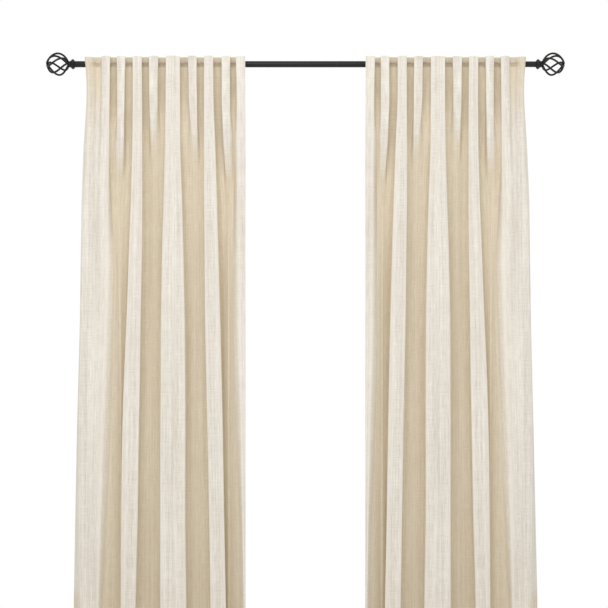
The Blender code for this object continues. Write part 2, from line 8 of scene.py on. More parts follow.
import bpy
import numpy as np
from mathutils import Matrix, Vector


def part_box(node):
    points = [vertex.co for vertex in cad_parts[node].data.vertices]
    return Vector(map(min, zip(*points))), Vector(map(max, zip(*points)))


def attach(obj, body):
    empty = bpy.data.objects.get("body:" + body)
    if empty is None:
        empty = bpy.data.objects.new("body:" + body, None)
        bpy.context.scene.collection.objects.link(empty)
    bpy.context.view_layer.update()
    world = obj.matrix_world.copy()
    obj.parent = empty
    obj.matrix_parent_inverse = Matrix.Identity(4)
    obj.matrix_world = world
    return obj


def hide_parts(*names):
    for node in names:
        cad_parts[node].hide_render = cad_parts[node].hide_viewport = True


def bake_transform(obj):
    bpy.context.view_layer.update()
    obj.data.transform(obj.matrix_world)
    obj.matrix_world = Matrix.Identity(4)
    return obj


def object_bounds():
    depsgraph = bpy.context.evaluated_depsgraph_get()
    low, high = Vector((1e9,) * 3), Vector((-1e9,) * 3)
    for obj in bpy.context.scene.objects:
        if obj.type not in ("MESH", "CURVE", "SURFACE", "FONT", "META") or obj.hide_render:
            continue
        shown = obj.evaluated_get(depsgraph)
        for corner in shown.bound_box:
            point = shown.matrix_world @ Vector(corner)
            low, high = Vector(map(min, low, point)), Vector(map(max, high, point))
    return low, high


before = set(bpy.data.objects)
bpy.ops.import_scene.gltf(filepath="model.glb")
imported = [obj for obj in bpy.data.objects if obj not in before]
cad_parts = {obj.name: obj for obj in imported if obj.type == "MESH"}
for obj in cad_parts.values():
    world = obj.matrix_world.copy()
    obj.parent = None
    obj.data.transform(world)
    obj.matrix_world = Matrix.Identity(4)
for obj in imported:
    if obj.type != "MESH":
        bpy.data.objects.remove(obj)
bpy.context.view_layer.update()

SIDES = {"left": -1, "right": 1}


# ---- wall plates, arm sockets, arms and cradles ----------------------------------------------------
# Pressed and welded mild steel, painted in the same satin black as the rod. The plate is screwed to the
# wall, the socket is welded to it, the square arm slides in the socket and the cradle is welded on top.
class Finish:
    """A value in a material. Python's operators on it add the Math nodes that they name."""

    def __init__(self, tree, socket):
        self.tree = tree
        self.socket = socket

    def node(self, kind, settings=(), inputs=(), output=0):
        """Any other node: its settings first, then the values or links of its sockets."""
        made = self.tree.nodes.new(kind)
        for name, value in dict(settings).items():
            setattr(made, name, value)
        for name, value in dict(inputs).items():
            if isinstance(value, Finish):
                self.tree.links.new(value.socket, made.inputs[name])
            else:
                made.inputs[name].default_value = value
        return Finish(self.tree, made.outputs[output])

    def math(self, operation, first, second=0.0):
        return self.node("ShaderNodeMath", {"operation": operation}, {0: first, 1: second})

    def __add__(self, other):
        return self.math("ADD", self, other)

    def __radd__(self, other):
        return self.math("ADD", other, self)

    def __sub__(self, other):
        return self.math("SUBTRACT", self, other)

    def __rsub__(self, other):
        return self.math("SUBTRACT", other, self)

    def __mul__(self, other):
        return self.math("MULTIPLY", self, other)

    def __rmul__(self, other):
        return self.math("MULTIPLY", other, self)

    def size(self):
        return self.math("ABSOLUTE", self)

    def wave(self):
        return self.math("SINE", self)

    def ramp(self, low, high):
        """0 below low and 1 above high, with soft ends."""
        return self.node("ShaderNodeMapRange", {"interpolation_type": "SMOOTHSTEP"},
                         {"Value": self, "From Min": low, "From Max": high})

    def mix(self, first, second):
        """The first colour where this value is 0, and the second where it is 1."""
        return self.node("ShaderNodeMix", {"data_type": "RGBA"}, {"Factor": self, "A": first, "B": second},
                         output="Result")

    def scaled(self, factors):
        """This vector times three factors."""
        return self.node("ShaderNodeVectorMath", {"operation": "MULTIPLY"}, {0: self, 1: factors})

    def noise(self, scale, detail=2.0, roughness=0.5):
        """Noise at this vector, from 0 to 1 with its middle at 0.5."""
        return self.node("ShaderNodeTexNoise", {},
                         {"Vector": self, "Scale": scale, "Detail": detail, "Roughness": roughness})

    def bump(self, strength, distance):
        """The normal that this height gives."""
        return self.node("ShaderNodeBump", {}, {"Height": self, "Strength": strength, "Distance": distance})


def new_finish(name, **constants):
    """A material, its shader node, and a first value that starts its expressions."""
    material = bpy.data.materials.new(name)
    material.use_nodes = True
    tree = material.node_tree
    shader = tree.nodes["Principled BSDF"]
    for socket, value in constants.items():
        shader.inputs[socket.replace("_", " ")].default_value = value
    coordinates = tree.nodes.new("ShaderNodeTexCoord")
    return material, shader, Finish(tree, coordinates.outputs["Object"])


def wire_up(shader, place, **values):
    """Links each value to the shader's socket of that name."""
    for socket, value in values.items():
        place.tree.links.new(value.socket, shader.inputs[socket.replace("_", " ")])


def satin_black(name, worn=0.12):
    """Powder coat: a fine orange peel, a little dust in patches, and paint rubbed thin in patches."""
    material, shader, place = new_finish(name, IOR=1.5, Specular_IOR_Level=0.32)
    peel = place.noise(1400.0, 2.0)
    cloud = place.noise(38.0, 3.0)
    rubbed = cloud.ramp(0.60, 0.78) * worn
    dust = place.noise(210.0, 2.0).ramp(0.52, 0.80)
    black = dust.mix((0.0110, 0.0108, 0.0110, 1), (0.0170, 0.0166, 0.0163, 1))
    colour = rubbed.mix(black, (0.034, 0.033, 0.032, 1))
    wire_up(shader, place, Base_Color=colour, Roughness=0.34 + 0.12 * cloud + 0.05 * dust,
            Normal=peel.bump(0.25, 0.00006))
    return material


black = satin_black("satin black powder coat")
for side in SIDES:
    for node in ("wall_plate", "arm_socket", "bracket_arm", "rod_cradle"):
        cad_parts[f"{side}_{node}"].data.materials[0] = black


# ---- rod tubes -------------------------------------------------------------------------------------
# Two lengths of thin steel tube, rolled and painted. The outer one runs from the left end past the
# middle, and the inner one slides out of it to the right end.
def middle_of(node):
    low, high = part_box(node)
    return (low + high) / 2


def radius_of(node):
    low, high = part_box(node)
    return (high.z - low.z) / 2


def shown_mesh(name, points, faces, material, smooth_below=35):
    """An object at the origin, whose corners and faces are these."""
    mesh = bpy.data.meshes.new(name)
    mesh.from_pydata(points.reshape(-1, 3).tolist(), [], faces)
    mesh.materials.append(material)
    mesh.shade_smooth()
    mesh.set_sharp_from_angle(angle=math.radians(smooth_below))
    piece = bpy.data.objects.new(name, mesh)
    bpy.context.scene.collection.objects.link(piece)
    return piece


def grid_faces(rows, columns, ring=False, loop=False):
    """Four-sided faces between the points of a grid. A ring joins its last column to its first one."""
    i, j = np.meshgrid(np.arange(rows if loop else rows - 1), np.arange(columns if ring else columns - 1),
                       indexing="ij")
    below = (i + 1) % rows
    beside = (j + 1) % columns
    corners = (i * columns + j, i * columns + beside, below * columns + beside, below * columns + j)
    return np.stack(corners, -1).reshape(-1, 4)


def turned(name, along, radii, centre, material, sides=96, flutes=None):
    """A shape turned about X: at each place along it, a ring of that radius. Rings of radius 0 close it.
    Where no ring has radius 0, the last ring joins the first one, as on a tube with a wall.

    flutes(angle) multiplies the radius, where the rings are not round.
    """
    angles = np.linspace(0, 2 * np.pi, sides, endpoint=False)
    waves = np.ones((len(along), sides)) if flutes is None else flutes(np.asarray(along), angles)
    reach = np.asarray(radii)[:, None] * waves
    points = np.stack([np.repeat(np.asarray(along)[:, None], sides, 1), reach * np.cos(angles),
                       reach * np.sin(angles)], -1) + np.asarray(centre)
    rings = len(along)
    closed = radii[0] > 0 and radii[-1] > 0
    faces = grid_faces(rings, sides, ring=True, loop=closed)
    if not closed:
        body = points[1:-1].reshape(-1, 3)
        poles = np.array([[along[0], 0, 0], [along[-1], 0, 0]]) + np.asarray(centre)
        points = np.concatenate([body, poles])
        faces = grid_faces(rings - 2, sides, ring=True)
        last = (rings - 3) * sides
        turn = np.arange(sides)
        after = (turn + 1) % sides
        first_cap = np.stack([after, turn, np.full(sides, len(body))], -1)
        last_cap = np.stack([last + turn, last + after, np.full(sides, len(body) + 1)], -1)
        return face_out(shown_mesh(name, points, faces.tolist() + first_cap.tolist() + last_cap.tolist(),
                                   material))
    return face_out(shown_mesh(name, points, faces.tolist(), material))


def face_out(piece):
    """Turns a closed mesh the right way round if its volume comes out negative."""
    mesh = piece.data
    mesh.calc_loop_triangles()
    corners = np.zeros(len(mesh.vertices) * 3)
    mesh.vertices.foreach_get("co", corners)
    triangles = np.zeros(len(mesh.loop_triangles) * 3, int)
    mesh.loop_triangles.foreach_get("vertices", triangles)
    a, b, c = corners.reshape(-1, 3)[triangles.reshape(-1, 3)].transpose(1, 0, 2)
    if np.einsum("ij,ij->", a, np.cross(b, c)) < 0:
        mesh.flip_normals()
    return piece


def finished(piece, body, slot, *nodes):
    """The piece moves with a body and stands for the nodes, which it hides. The slot is not used."""
    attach(piece, body)
    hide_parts(*nodes)
    return piece


def bead(centre, radius, first, last, steps=6):
    """Points on an arc about a centre, as (along, radius), from one angle to another."""
    angles = np.radians(np.linspace(first, last, steps))
    return [(centre[0] + radius * math.cos(a), centre[1] + radius * math.sin(a)) for a in angles]


def tube_piece(name, node, wall, body):
    """A tube with the rounded lips that a roller cutter leaves at its ends."""
    low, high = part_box(node)
    outer = radius_of(node)
    lip = wall / 2
    profile = bead((low.x + lip, outer - lip), lip, 270, 90) + bead((high.x - lip, outer - lip), lip, 90, -90)
    centre = (0, middle_of(node).y, middle_of(node).z)
    piece = turned(name, [x for x, _ in profile], [r for _, r in profile], centre, black)
    return finished(piece, body, "black_satin", node)


TUBE_WALL = 0.0005
tube_piece("rod_outer_tube", "outer_tube", TUBE_WALL, "outer_rod")
tube_piece("rod_inner_tube", "inner_tube", TUBE_WALL, "inner_rod")
ROD_AXIS = middle_of("outer_tube")
ROD_RADIUS = radius_of("outer_tube")


# ---- plugs and glide -------------------------------------------------------------------------------
# A zinc-plated threaded plug pressed into each end of the rod, and the moulded nylon glide on the inner
# tube's end, which keeps the two tubes from rattling.
def plated(name):
    """Bright zinc plate: grey-blue with a soft yellowish cloud, finely brushed round the piece."""
    material, shader, place = new_finish(name, Metallic=1.0)
    cloud = place.noise(160.0, 3.0)
    brushed = place.scaled((9.0, 1.0, 1.0)).noise(520.0, 2.0)
    colour = cloud.ramp(0.35, 0.70).mix((0.50, 0.52, 0.55, 1), (0.58, 0.55, 0.47, 1))
    wire_up(shader, place, Base_Color=colour, Roughness=0.26 + 0.22 * brushed,
            Normal=brushed.bump(0.15, 0.00004))
    return material


def moulded_nylon(name):
    """Milky nylon with the fine grain of its mould."""
    material, shader, place = new_finish(name, IOR=1.53)
    grain = place.noise(900.0, 2.0)
    colour = place.noise(60.0).mix((0.74, 0.74, 0.71, 1), (0.80, 0.79, 0.75, 1))
    wire_up(shader, place, Base_Color=colour, Roughness=0.42 + 0.15 * grain,
            Normal=grain.bump(0.3, 0.00005))
    return material


zinc = plated("zinc-plated steel")
for side in SIDES:
    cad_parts[f"{side}_end_plug"].data.materials[0] = zinc
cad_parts["inner_tube_glide"].data.materials[0] = moulded_nylon("moulded nylon")


# ---- thumb screws ----------------------------------------------------------------------------------
# Zinc-plated steel screws with a knurled head. One clamps the rod in its cradle, from behind, and the
# other clamps the arm in its socket, from below.
KNURLS = 20
KNURL_DEPTH = 0.07
HEAD_LENGTH = 0.004
SHANK_RADIUS = 0.002
HEAD_BEVEL = 0.0005
THREAD_PITCH = 0.0007
THREAD_DEPTH = 0.00022


def thumb_screw(side, kind, axis, outward):
    """A knurled head on a threaded shank. The tip end is the one away from the outward direction."""
    node = f"{side}_{kind}_screw"
    low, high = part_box(node)
    middle = (low + high) / 2
    length = high[axis] - low[axis]
    head_radius = (high.x - low.x) / 2
    shank = length - HEAD_LENGTH
    turns = np.arange(0.0006, shank - 0.0001, THREAD_PITCH / 4)
    threads = [(turn, SHANK_RADIUS - THREAD_DEPTH * (0.5 + 0.5 * math.cos(turn / THREAD_PITCH * 2 * math.pi)))
               for turn in turns]
    profile = [(0, 0), (0, SHANK_RADIUS * 0.6)] + threads + [
        (shank, SHANK_RADIUS * 0.9), (shank, head_radius - HEAD_BEVEL), (shank + HEAD_BEVEL, head_radius),
        (length - HEAD_BEVEL, head_radius), (length, head_radius - HEAD_BEVEL),
        (length, head_radius * 0.55), (length - 0.0004, head_radius * 0.45), (length - 0.0004, 0)]

    def knurls(places, angles):
        """Straight knurling: the radius goes up and down round the head's rim."""
        rim = (places > shank + HEAD_BEVEL / 2) & (places < length - HEAD_BEVEL / 2)
        wave = 1 - KNURL_DEPTH * (0.5 + 0.5 * np.cos(KNURLS * angles)) ** 2
        return np.where(rim[:, None], wave, 1.0)

    piece = turned(f"{side}_{kind}_thumb_screw", [x for x, _ in profile], [r for _, r in profile],
                   (0, 0, 0), zinc, sides=KNURLS * 4, flutes=knurls)
    points = np.zeros(len(piece.data.vertices) * 3)
    piece.data.vertices.foreach_get("co", points)
    points = points.reshape(-1, 3)
    laid = points[:, [1, 2, 0]] if axis == 2 else points[:, [2, 0, 1]]
    tip = np.array(middle)
    tip[axis] = low[axis] if outward > 0 else high[axis]
    laid[:, axis] *= outward
    piece.data.vertices.foreach_set("co", (laid + tip).ravel())
    face_out(piece)
    piece.data.update()
    return finished(piece, f"{side}_{kind}_screw", "zinc_plated_steel", node)


for side in SIDES:
    thumb_screw(side, "rod", 1, 1)
    thumb_screw(side, "arm", 2, -1)


# ---- finials ---------------------------------------------------------------------------------------
# A turned collar and neck, painted black, screwed into the rod's end, and a birdcage of six twisted
# wires brazed to the neck and to a button inside the tip.
CAGE_RADIUS = 0.0380
CAGE_WIRES = 6
CAGE_WIRE_RADIUS = 0.0035
CAGE_TWIST = math.radians(125)
CAGE_FIRST_WIRE = math.radians(20)
CAGE_POLE_RING = 0.0080
CAGE_POINTEDNESS = 1.2
COLLAR_RADIUS = 0.018
COLLAR_FRONT_RADIUS = 0.0116
COLLAR_RIM = 0.40
COLLAR_TO_ROD = 0.0003
NECK_RADIUS = 0.0112
STUD_RADIUS = 0.003


def rod_along(name, path, radius, across, material, sides=24):
    """A round bar along a path, with half-round ends.

    across is a direction at each point of the path that is never along it: with it, every ring has a
    frame that turns smoothly. At the two ends the ring shrinks as a quarter circle.
    """
    tangent = np.gradient(path, axis=0)
    tangent /= np.linalg.norm(tangent, axis=1, keepdims=True)
    cap = np.radians(np.linspace(90, 0, 6))[:-1]
    start = path[0] - tangent[0] * (radius * np.sin(cap))[:, None]
    end = path[-1] + tangent[-1] * (radius * np.sin(cap))[::-1, None]
    centres = np.concatenate([start, path, end])
    tangents = np.concatenate([np.repeat(tangent[:1], 5, 0), tangent, np.repeat(tangent[-1:], 5, 0)])
    sideways = np.concatenate([np.repeat(across[:1], 5, 0), across, np.repeat(across[-1:], 5, 0)])
    reach = radius * np.concatenate([np.cos(cap), np.ones(len(path)), np.cos(cap)[::-1]])
    reach = np.maximum(reach, radius * 0.02)
    first = sideways - tangents * np.sum(sideways * tangents, 1, keepdims=True)
    first /= np.linalg.norm(first, axis=1, keepdims=True)
    second = np.cross(tangents, first)
    angles = np.linspace(0, 2 * np.pi, sides, endpoint=False)
    rings = (centres[:, None] + reach[:, None, None]
             * (first[:, None] * np.cos(angles)[:, None] + second[:, None] * np.sin(angles)[:, None]))
    faces = grid_faces(len(centres), sides, ring=True).tolist()
    last = (len(centres) - 1) * sides
    faces += [list(range(sides))[::-1], [last + k for k in range(sides)]]
    return face_out(shown_mesh(name, rings, faces, material))


def finial_base(side, outward):
    """The collar: a cone out to a rounded rim and a longer hollow one back in to the neck."""
    node = f"{side}_finial_base"
    low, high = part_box(node)
    start = middle_of(f"{side}_end_plug")
    plug_low, plug_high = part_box(f"{side}_end_plug")
    rod_end = plug_high.x if outward > 0 else plug_low.x
    far_end = high.x if outward > 0 else low.x
    stud_end = low.x if outward > 0 else high.x
    length = abs(far_end - rod_end)
    collar = length - 0.0035
    share = np.linspace(0, 1, 40)
    swelling = 0.5 - 0.5 * np.cos(np.pi * np.clip(share / COLLAR_RIM, 0, 1))
    rising = COLLAR_FRONT_RADIUS + (COLLAR_RADIUS - COLLAR_FRONT_RADIUS) * swelling ** 0.8
    falling = NECK_RADIUS + (COLLAR_RADIUS - NECK_RADIUS) * (
        0.5 + 0.5 * np.cos(np.pi * np.clip((share - COLLAR_RIM) / (1 - COLLAR_RIM), 0, 1)))
    radii = np.where(share < COLLAR_RIM, rising, falling)
    places = COLLAR_TO_ROD + (collar - COLLAR_TO_ROD) * share
    stud = abs(stud_end - rod_end)
    profile = [(-stud, 0), (-stud, STUD_RADIUS * 0.8), (-stud + 0.0006, STUD_RADIUS),
               (COLLAR_TO_ROD, STUD_RADIUS), (COLLAR_TO_ROD, COLLAR_FRONT_RADIUS - 0.0008),
               (COLLAR_TO_ROD + 0.0003, COLLAR_FRONT_RADIUS - 0.0003)]
    profile += list(zip(places[1:], radii[1:]))
    profile += [(collar + 0.0002, NECK_RADIUS - 0.0005), (collar + 0.0008, NECK_RADIUS - 0.0005),
                (collar + 0.0012, NECK_RADIUS), (length - 0.0006, NECK_RADIUS),
                (length, NECK_RADIUS - 0.0006), (length, 0)]
    piece = turned(f"{side}_finial_collar", [outward * x for x, _ in profile], [r for _, r in profile],
                   (rod_end, start.y, start.z), black)
    return finished(piece, f"{side}_finial", "black_satin", node)


def cage_wires(side, outward):
    """Each wire runs from pole to pole of a ball drawn out at its poles, while it turns about the axis.

    With p the angle from the inner pole, its ring has the radius of the ball times sin(p) to a power.
    """
    pole = math.asin((CAGE_POLE_RING / CAGE_RADIUS) ** (1 / CAGE_POINTEDNESS))
    lows, highs = zip(*(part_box(f"{side}_cage_wire_{k + 1}") for k in range(CAGE_WIRES)))
    centre_x = (min(low.x for low in lows) + max(high.x for high in highs)) / 2
    centre = np.array([centre_x, ROD_AXIS.y, ROD_AXIS.z])
    polar = np.linspace(pole, math.pi - pole, 97)
    ring = CAGE_RADIUS * np.sin(polar) ** CAGE_POINTEDNESS
    for k in range(CAGE_WIRES):
        turn = CAGE_FIRST_WIRE + 2 * math.pi * k / CAGE_WIRES + CAGE_TWIST * polar / math.pi
        offsets = np.stack([-outward * CAGE_RADIUS * np.cos(polar), -ring * np.sin(turn),
                            ring * np.cos(turn)], -1)
        piece = rod_along(f"{side}_birdcage_wire_{k + 1}", centre + offsets, CAGE_WIRE_RADIUS,
                          offsets / np.linalg.norm(offsets, axis=1, keepdims=True), black)
        finished(piece, f"{side}_finial", "black_satin", f"{side}_cage_wire_{k + 1}")


for side, outward in SIDES.items():
    finial_base(side, outward)
    cage_wires(side, outward)
    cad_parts[f"{side}_cage_button"].data.materials[0] = black


# ---- curtain panels --------------------------------------------------------------------------------
# Linen-look cloth, cut as one flat panel with turned side edges and a deep bottom hem. It is gathered
# into nine upright folds at its heading, and every second fold runs out below into four wide hollows.
# It hangs from the back tabs sewn to it.
CLOTH_THICKNESS = 0.0010
HEM_THICKNESS = 0.0019
BOTTOM_HEM = 0.076
HEADING_HEM = 0.040
SIDE_HEM = 0.013
FIRST_TAB_SHARE = 0.083
LAST_TAB_SHARE = 0.9215
FACE_ROUNDING = 0.0042
FACE_SWELL = 0.045
HEAD_OVERHANG = 0.0055
HEM_OVERHANG = 0.0095
FRONT_DROOP = 0.0035
HEADING_DEPTH = 0.045
SETTLING_DROP = 1.10
HEAD_FRONT = 0.054
HEM_FRONT = 0.050
HEM_FLOOR = 0.016
HEAD_FLOOR = 0.0143
TUCK_DOWN = 0.0222
TUCK_HEIGHT = 0.0012
HEM_STITCHES = BOTTOM_HEM - 0.0025
STITCH_WAVES = 2 * math.pi / 0.0055
STITCH_GROOVE = 0.0005

# Where the five lasting folds' faces start and end across the panel, as shares of its hung width, at
# shares of its drop.
FACE_SHARES = (0.0, 0.072, 0.154, 0.236, 0.318, 0.433, 0.531, 0.630, 0.761, 0.892, 1.0)
LASTING_FACES = (
    ((0.116, 0.163), (0.303, 0.359), (0.508, 0.595), (0.744, 0.800), (0.939, 0.998)),
    ((0.112, 0.161), (0.304, 0.361), (0.508, 0.596), (0.743, 0.801), (0.944, 0.999)),
    ((0.108, 0.159), (0.300, 0.362), (0.503, 0.599), (0.741, 0.814), (0.949, 1.000)),
    ((0.104, 0.156), (0.291, 0.363), (0.494, 0.611), (0.741, 0.824), (0.952, 1.000)),
    ((0.100, 0.150), (0.279, 0.362), (0.483, 0.620), (0.744, 0.834), (0.954, 1.000)),
    ((0.092, 0.138), (0.263, 0.355), (0.474, 0.628), (0.748, 0.846), (0.958, 1.000)),
    ((0.084, 0.125), (0.247, 0.351), (0.472, 0.630), (0.756, 0.855), (0.965, 1.000)),
    ((0.076, 0.111), (0.236, 0.344), (0.470, 0.630), (0.764, 0.863), (0.974, 1.000)),
    ((0.068, 0.101), (0.230, 0.337), (0.470, 0.629), (0.772, 0.871), (0.984, 1.000)),
    ((0.060, 0.090), (0.226, 0.323), (0.470, 0.636), (0.779, 0.880), (0.990, 1.000)),
    ((0.056, 0.086), (0.224, 0.318), (0.470, 0.640), (0.782, 0.884), (0.992, 1.000)),
)
# The four fading folds between them: (share of the drop, start, end) of each face, how far down the fold
# starts and ends to sink into its hollow, and which of its sides, -1 or +1, runs out softly.
FADING_FACES = (
    (((0.0, 0.2065, 0.257), (0.074, 0.2065, 0.2545), (0.140, 0.206, 0.247), (0.173, 0.206, 0.2385),
      (0.205, 0.207, 0.228), (0.240, 0.210, 0.218)), 0.16, 0.50, -1),
    (((0.0, 0.404, 0.460), (0.074, 0.406, 0.4575), (0.107, 0.407, 0.450), (0.140, 0.408, 0.437),
      (0.165, 0.410, 0.427), (0.190, 0.412, 0.420)), 0.10, 0.40, 1),
    (((0.0, 0.645, 0.698), (0.074, 0.647, 0.701), (0.107, 0.656, 0.701), (0.140, 0.667, 0.700),
      (0.165, 0.679, 0.697), (0.190, 0.686, 0.694)), 0.12, 0.42, -1),
    (((0.0, 0.853, 0.9045), (0.074, 0.852, 0.9045), (0.140, 0.860, 0.904), (0.173, 0.868, 0.903),
      (0.205, 0.878, 0.899), (0.240, 0.888, 0.896)), 0.18, 0.52, 1),
)
# The ease of the outermost and the leading fold's inner side, at shares of the drop.
OUTER_EASE = ((0, 0.19, 0.36, 0.63, 0.90, 1), (-0.006, -0.006, 0.028, 0.028, 0.010, 0.008))
LEADING_EASE = ((0, 0.06, 0.14, 0.50, 0.75, 1), (-0.006, -0.004, 0.014, 0.022, 0.014, 0.010))
# How far each of the four hollows rises again towards its outer and its leading side, as shares of its
# depth. The outermost and the leading fold roll gently out of theirs.
SOFT_VALLEYS = ((0.62, 0.0), (0.0, 0.0), (0.0, 0.0), (0.0, 0.62))
# The cloth outside the outermost tab: (share of the width, depth in front of the rod's axis) of its
# edge, front corner, face's end, and the dip behind the outermost tab, at shares of the drop.
FLAP_SHARES = (0.0, 0.023, 0.045, 0.075, 0.115, 0.150, 0.236, 0.436, 0.637, 0.904, 1.0)
OUTER_FLAP = (
    ((0.000, 0.022), (0.004, 0.036), (0.038, 0.034), (0.064, 0.015), (0.101, 0.014)),
    ((0.008, 0.022), (0.012, 0.036), (0.038, 0.035), (0.064, 0.020), (0.100, 0.018)),
    ((0.013, 0.021), (0.018, 0.036), (0.040, 0.037), (0.064, 0.026), (0.098, 0.024)),
    ((0.011, 0.019), (0.017, 0.036), (0.042, 0.040), (0.064, 0.034), (0.096, 0.034)),
    ((0.000, 0.016), (0.008, 0.036), (0.040, 0.043), (0.064, 0.041), (0.094, 0.043)),
    ((-0.010, 0.014), (0.002, 0.037), (0.036, 0.046), (0.062, 0.045), (0.092, 0.047)),
    ((-0.024, 0.010), (-0.012, 0.040), (0.030, 0.048), (0.060, 0.048), (0.088, 0.049)),
    ((-0.039, -0.005), (-0.023, 0.045), (0.026, 0.050), (0.060, 0.050), (0.080, 0.050)),
    ((-0.060, -0.012), (-0.040, 0.046), (0.010, 0.050), (0.040, 0.050), (0.060, 0.050)),
    ((-0.084, -0.020), (-0.023, 0.046), (0.000, 0.050), (0.025, 0.050), (0.045, 0.050)),
    ((-0.086, -0.020), (-0.023, 0.046), (0.000, 0.050), (0.025, 0.050), (0.043, 0.050)),
)
# How much painted shade darkens the flap's corners at the heading, and how far down it stays.
FLAP_SHADES = ((1.0, 0.52), (0.75, 0.52), (0.60, 0.42), (0.90, 0.34), (0.75, 0.30))


def smooth_step(value):
    """3v^2 - 2v^3, held at 0 below 0 and at 1 above 1."""
    value = np.clip(value, 0, 1)
    return value * value * (3 - 2 * value)


def along_drop(levels, table, shares):
    """The table's numbers at shares of the drop: straight between levels, then evened out."""
    fine = np.linspace(0, 1, 401)
    window = np.hanning(23)
    window /= window.sum()
    values = np.asarray(table).reshape(len(levels), -1)
    columns = [np.convolve(np.pad(np.interp(fine, levels, column), 11, mode="reflect", reflect_type="odd"),
                           window, "valid") for column in values.T]
    evened = np.stack([np.interp(shares, fine, column) for column in columns], -1)
    return evened.reshape(len(shares), *np.shape(table)[1:])


def panel_corners(shares, drop, hung):
    """The corners of the cloth's line across the panel, at each share of its drop.

    The outer flap's corners come first, then each lasting fold's face and the hollow after it, with the
    fading fold that sinks into that hollow. Returns five grids, of a row for each share and a column for
    each corner: the distance from the panel's outer edge, the distance behind the rod's axis, how deep
    the corner lies in a recess from 0 to 1, which sets the painted shade it takes, how widely it is rounded,
    and whether it is the edge of a fold's face, which also sets a painted highlight along that edge.
    """
    down = shares * drop
    settled = smooth_step((down - HEADING_DEPTH) / SETTLING_DROP) ** 0.6
    front = -(HEAD_FRONT + (HEM_FRONT - HEAD_FRONT) * shares)
    floor = -HEAD_FLOOR + (HEM_FLOOR + HEAD_FLOOR) * settled
    slant = -HEAD_OVERHANG - (HEM_OVERHANG - HEAD_OVERHANG) * smooth_step((down - 0.06) / 0.40)
    rounding = FACE_ROUNDING + 0.0051 * settled
    outer_ease = along_drop(*OUTER_EASE, shares)
    leading_ease = along_drop(*LEADING_EASE, shares)
    floor_rounding = 0.006 + 0.010 * settled
    faces = along_drop(FACE_SHARES, LASTING_FACES, shares) * hung
    flap = along_drop(FLAP_SHARES, OUTER_FLAP, shares)
    loose = smooth_step((down - HEADING_DEPTH) / 0.42)
    corners = []

    def corner(x, y, recess, radius, edge=0.0):
        corners.append(np.stack(np.broadcast_arrays(x, y, recess, radius, edge), -1))

    for k, (shade, shade_drop) in enumerate(FLAP_SHADES):
        depth = flap[:, k, 1]
        if k > 2:
            depth = depth * loose + HEAD_FLOOR * (1 - loose)
        shaded = shade * (1 - smooth_step(down / shade_drop))
        # Painted shadow on the flap's edge and front corner near the bottom, where the hem's corner turns
        # back.
        if k < 2:
            shaded = shaded + (1.3, 0.5)[k] * smooth_step((shares - 0.87) / 0.035)
        corner(flap[:, k, 0] * hung, -depth, shaded, 0.008 + 0.012 * loose)
    for i in range(5):
        start, end = faces[:, i, 0], faces[:, i, 1]
        if i > 0:
            lean = np.maximum(slant, leading_ease) if i == 4 else slant
            corner(start - lean, valley_floor, valley_painted_shade, floor_rounding)
            corner(start, front, 0.0, rounding * (1.6 if i == 4 else 1), 1.0)
        else:
            corner(start, front, 0.0, 0.010)
        corner(end, front, 0.0, rounding * (1 + settled if i == 0 else 1), 1.0)
        if i == 4:
            break
        lean = np.maximum(slant, outer_ease) if i == 0 else slant
        next_lean = np.maximum(slant, leading_ease) if i == 3 else slant
        low = end + lean
        high = faces[:, i + 1, 0] - next_lean
        levels, fade_start, fade_end, soft_side = FADING_FACES[i]
        depths, starts, ends = zip(*levels)
        fold = along_drop(depths, tuple(zip(starts, ends)), shares) * hung
        stays = 1 - smooth_step((down - fade_start) / (fade_end - fade_start))
        crest = floor + (front - floor) * stays ** 0.8
        left_edge = np.clip(fold[:, 0], low + 0.004, high - 0.010)
        right_edge = np.clip(fold[:, 1], left_edge + 0.002, high - 0.004)
        full = stays * smooth_step((right_edge - left_edge - 0.010) / 0.012)
        steep = 0.0028 - (HEAD_OVERHANG + 0.0018) * full + 0.007 * (1 - stays)
        easy = steep + 0.016 * smooth_step((down - 0.10) / 0.25)
        left_foot = np.maximum(left_edge - (easy if soft_side < 0 else steep), low + 0.0015)
        right_foot = np.minimum(right_edge + (easy if soft_side > 0 else steep), high - 0.0015)
        # Painted shade: a fading fold's crest darkens as it sinks into its hollow.
        dim = 1 - stays ** 0.7
        shallow = (0.60, 0.40, 0.40, 0.60)[i] * smooth_step((down - 0.10) / 0.22)
        rise = (front - floor) * smooth_step((down - 0.30) / 0.45)
        low_floor = floor + rise * SOFT_VALLEYS[i][0]
        high_floor = floor + rise * SOFT_VALLEYS[i][1]

        def floor_at(place):
            return low_floor + (high_floor - low_floor) * (place - low) / np.maximum(high - low, 0.01)

        soft_rise = (crest - floor) * shallow
        left_rise, right_rise = (soft_rise, 0.0) if soft_side < 0 else (0.0, soft_rise)
        crest = np.minimum(crest, floor_at((left_edge + right_edge) / 2))
        # A hollow's floor takes full painted shade, less beside a soft side, where the floor rises.
        soft_painted_shade = 1 - 0.6 * shallow * stays
        left_painted_shade, right_painted_shade = (soft_painted_shade, 1.0) if soft_side < 0 else (1.0, soft_painted_shade)
        corner(low, np.minimum(low_floor, floor + left_rise), left_painted_shade, floor_rounding)
        corner(left_foot, np.minimum(floor_at(left_foot), floor + left_rise), left_painted_shade, 0.004)
        corner(left_edge, crest, dim, FACE_ROUNDING, stays * (0.3 if soft_side < 0 else 1))
        corner(right_edge, crest, dim, FACE_ROUNDING, stays * (0.3 if soft_side > 0 else 1))
        corner(right_foot, np.minimum(floor_at(right_foot), floor + right_rise), right_painted_shade, 0.004)
        valley_floor = np.minimum(high_floor, floor + right_rise)
        valley_painted_shade = right_painted_shade
    return np.moveaxis(np.stack(corners, 1), -1, 0)


